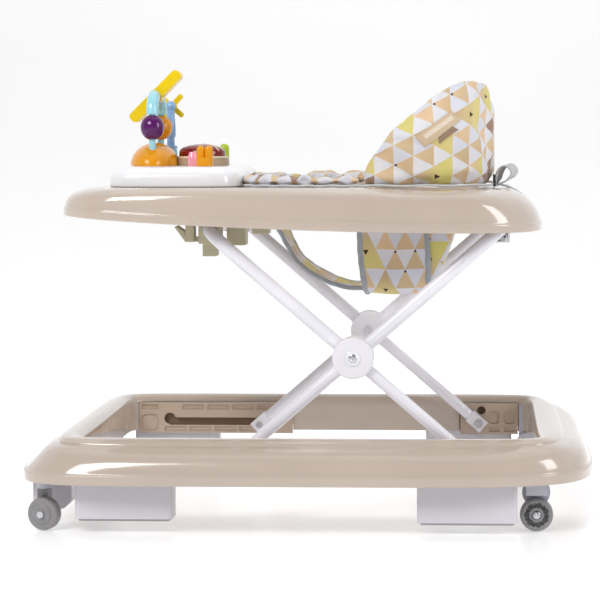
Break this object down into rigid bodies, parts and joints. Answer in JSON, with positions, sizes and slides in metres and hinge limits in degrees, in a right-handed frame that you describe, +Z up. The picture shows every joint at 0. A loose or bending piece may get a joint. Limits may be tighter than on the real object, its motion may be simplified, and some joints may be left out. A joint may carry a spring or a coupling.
{
  "type": "baby walker",
  "caption": "Height-adjustable baby walker: ring base on swivel casters, folding scissor frame, gloss tray with toy panel, padded fabric seat with wrap-round back.",
  "frame": {"origin": "on the floor under the centre of the base, at the middle of the bounding box's bottom face", "axes": "+X to the rear where the backrest is, +Y to the far side in the picture, +Z up"},
  "size_m": [0.72, 0.6, 0.5755],
  "materials": {
    "beige_shell": "glossy injection-moulded beige",
    "beige_panel": "satin moulded beige",
    "white_shell": "glossy white",
    "frame_paint": "gloss white powder coat",
    "white_plastic": "satin white",
    "steel_pin": "bright zinc plate",
    "screw_chrome": "polished",
    "wheel_grey": "satin grey",
    "bracket_grey": "satin light grey",
    "stopper_grey": "satin pale lavender grey",
    "pad_rubber": "soft grey",
    "carriage_beige": "satin olive beige",
    "toy_orange": "glossy orange",
    "toy_yellow": "glossy yellow",
    "toy_light_blue": "glossy light blue",
    "toy_periwinkle": "glossy periwinkle",
    "toy_cyan": "glossy cyan",
    "toy_purple": "glossy purple",
    "toy_red": "translucent dark red lens",
    "toy_green": "glossy yellow-green",
    "toy_pink": "glossy pink",
    "drum_tan": "satin tan",
    "drum_cream": "cream trim",
    "seat_fabric": "printed woven polyester",
    "webbing": "grey woven webbing",
    "label_tan": "plain woven patch",
    "buckle_dark": "satin dark grey"
  },
  "bodies": {
    "base": {"base_shell": "beige_shell", "slot_guide_left": "beige_panel", "slot_guide_right": "beige_panel", "rear_pivot_plate_left": "beige_panel", "rear_pivot_plate_right": "beige_panel", "rear_pivot_pins": "steel_pin", "front_stoppers": "stopper_grey", "rear_stoppers": "stopper_grey", "stopper_pads": "pad_rubber", "front_caster_sockets": "bracket_grey", "rear_wheel_brackets": "bracket_grey", "rear_axle_screws": "screw_chrome"},
    "caster_left": {"caster_left": "wheel_grey", "caster_screws_left": "screw_chrome"},
    "caster_right": {"caster_right": "wheel_grey", "caster_screws_right": "screw_chrome"},
    "front_wheel_left": {"front_wheel_left": "wheel_grey"},
    "front_wheel_right": {"front_wheel_right": "wheel_grey"},
    "rear_wheel_left": {"rear_wheel_left": "wheel_grey"},
    "rear_wheel_right": {"rear_wheel_right": "wheel_grey"},
    "outer_frame": {"outer_frame_tube": "frame_paint", "outer_hub_blocks": "white_plastic", "rear_foot_blocks": "white_plastic", "hub_pins": "steel_pin", "hub_caps": "white_plastic", "hub_screws": "screw_chrome"},
    "inner_frame": {"inner_frame_tube": "frame_paint", "inner_hub_blocks": "white_plastic", "front_foot_blocks": "white_plastic", "foot_rivets": "steel_pin"},
    "feet": {"foot_sliders": "white_plastic"},
    "carriages": {"height_carriages": "carriage_beige"},
    "latch_left": {"latch_left": "carriage_beige"},
    "latch_right": {"latch_right": "carriage_beige"},
    "purple_bead": {"purple_bead": "toy_purple"},
    "orange_bead": {"orange_bead": "toy_orange"},
    "tumbler": {"tumbler": "toy_yellow"},
    "pinwheel": {"pinwheel": "toy_yellow"},
    "drum_button": {"drum_button": "toy_red"},
    "twist_knob": {"twist_knob": "toy_orange"},
    "green_peg": {"green_peg": "toy_green"},
    "pink_button": {"pink_button": "toy_pink"},
    "tray": {"upper_tray": "beige_shell", "tray_rails": "beige_panel", "rear_hinge_brackets": "white_plastic", "bracket_rivets": "steel_pin", "toy_tray": "white_shell", "arch_dome": "toy_orange", "toy_arch": "toy_light_blue", "toy_post_base": "toy_cyan", "toy_post": "toy_periwinkle", "drum_base": "drum_tan", "drum_trim": "drum_cream", "seat_hem": "seat_fabric", "seat_sling": "seat_fabric", "backrest_pad": "seat_fabric", "label_patch": "label_tan", "strap_loop": "webbing", "strap_buckle": "buckle_dark", "strap_tab": "webbing"}
  },
  "joints": [
    {"name": "height_fold", "type": "hinge", "parent": "base", "child": "outer_frame", "pos_m": [0.214, 0, 0.076], "axis": [0, -1, 0], "range_deg": [0, 33.5]},
    {"name": "scissor_hub", "type": "hinge", "parent": "outer_frame", "child": "inner_frame", "pos_m": [0.05754, 0, 0.21153], "axis": [0, -1, 0], "range_deg": [-67.5, 0.5]},
    {"name": "rear_tray_hinge", "type": "hinge", "parent": "inner_frame", "child": "tray", "pos_m": [0.24121, 0, 0.37063], "axis": [0, -1, 0], "range_deg": [-0.5, 34]},
    {"name": "front_foot_hinge", "type": "hinge", "parent": "inner_frame", "child": "feet", "pos_m": [-0.09892, 0, 0.076], "axis": [0, -1, 0], "range_deg": [-0.5, 34]},
    {"name": "carriage_hinge", "type": "hinge", "parent": "outer_frame", "child": "carriages", "pos_m": [-0.12613, 0, 0.37063], "axis": [0, -1, 0], "range_deg": [-34, 0.5]},
    {"name": "latch_left_squeeze", "type": "slide", "parent": "carriages", "child": "latch_left", "axis": [1, 0, 0], "range_m": [0, 0.004], "stiffness_N_per_m": 300},
    {"name": "latch_right_squeeze", "type": "slide", "parent": "carriages", "child": "latch_right", "axis": [1, 0, 0], "range_m": [0, 0.004], "stiffness_N_per_m": 300},
    {"name": "caster_left_swivel", "type": "hinge", "parent": "base", "child": "caster_left", "pos_m": [-0.328, -0.236, 0.05], "axis": [0, 0, 1], "continuous": true},
    {"name": "front_wheel_left_spin", "type": "hinge", "parent": "caster_left", "child": "front_wheel_left", "pos_m": [-0.32339, -0.2423, 0.0205], "axis": [-0.2419, -0.9703, 0], "continuous": true},
    {"name": "rear_wheel_left_spin", "type": "hinge", "parent": "base", "child": "rear_wheel_left", "pos_m": [0.285, -0.2375, 0.0205], "axis": [0, 1, 0], "continuous": true},
    {"name": "caster_right_swivel", "type": "hinge", "parent": "base", "child": "caster_right", "pos_m": [-0.328, 0.236, 0.05], "axis": [0, 0, 1], "continuous": true},
    {"name": "front_wheel_right_spin", "type": "hinge", "parent": "caster_right", "child": "front_wheel_right", "pos_m": [-0.32339, 0.2423, 0.0205], "axis": [-0.2419, 0.9703, 0], "continuous": true},
    {"name": "rear_wheel_right_spin", "type": "hinge", "parent": "base", "child": "rear_wheel_right", "pos_m": [0.285, 0.2375, 0.0205], "axis": [0, 1, 0], "continuous": true},
    {"name": "purple_bead_spin", "type": "hinge", "parent": "tray", "child": "purple_bead", "pos_m": [-0.216, -0.05, 0.4995], "axis": [0, 0, 1], "continuous": true},
    {"name": "orange_bead_spin", "type": "hinge", "parent": "tray", "child": "orange_bead", "pos_m": [-0.216, 0.03, 0.4995], "axis": [0, 0, 1], "continuous": true},
    {"name": "tumbler_spin", "type": "hinge", "parent": "tray", "child": "tumbler", "pos_m": [-0.216, -0.01, 0.541], "axis": [0, 1, 0], "continuous": true},
    {"name": "pinwheel_spin", "type": "hinge", "parent": "tray", "child": "pinwheel", "pos_m": [-0.208, 0.0847, 0.529], "axis": [0, 1, 0], "continuous": true},
    {"name": "twist_knob_turn", "type": "hinge", "parent": "tray", "child": "twist_knob", "pos_m": [-0.1426, -0.085, 0.455], "axis": [0, 0, 1], "continuous": true},
    {"name": "drum_button_press", "type": "slide", "parent": "tray", "child": "drum_button", "axis": [0, 0, -1], "range_m": [0, 0.003], "stiffness_N_per_m": 600},
    {"name": "green_peg_press", "type": "slide", "parent": "tray", "child": "green_peg", "axis": [0, 0, -1], "range_m": [0, 0.004], "stiffness_N_per_m": 300},
    {"name": "pink_button_press", "type": "slide", "parent": "tray", "child": "pink_button", "axis": [0, 0, -1], "range_m": [0, 0.004], "stiffness_N_per_m": 300}
  ],
  "couplings": [
    {"joint": "scissor_hub", "follows": "height_fold", "ratio": -2},
    {"joint": "rear_tray_hinge", "follows": "height_fold", "ratio": 1},
    {"joint": "front_foot_hinge", "follows": "height_fold", "ratio": 1},
    {"joint": "carriage_hinge", "follows": "height_fold", "ratio": -1}
  ]
}
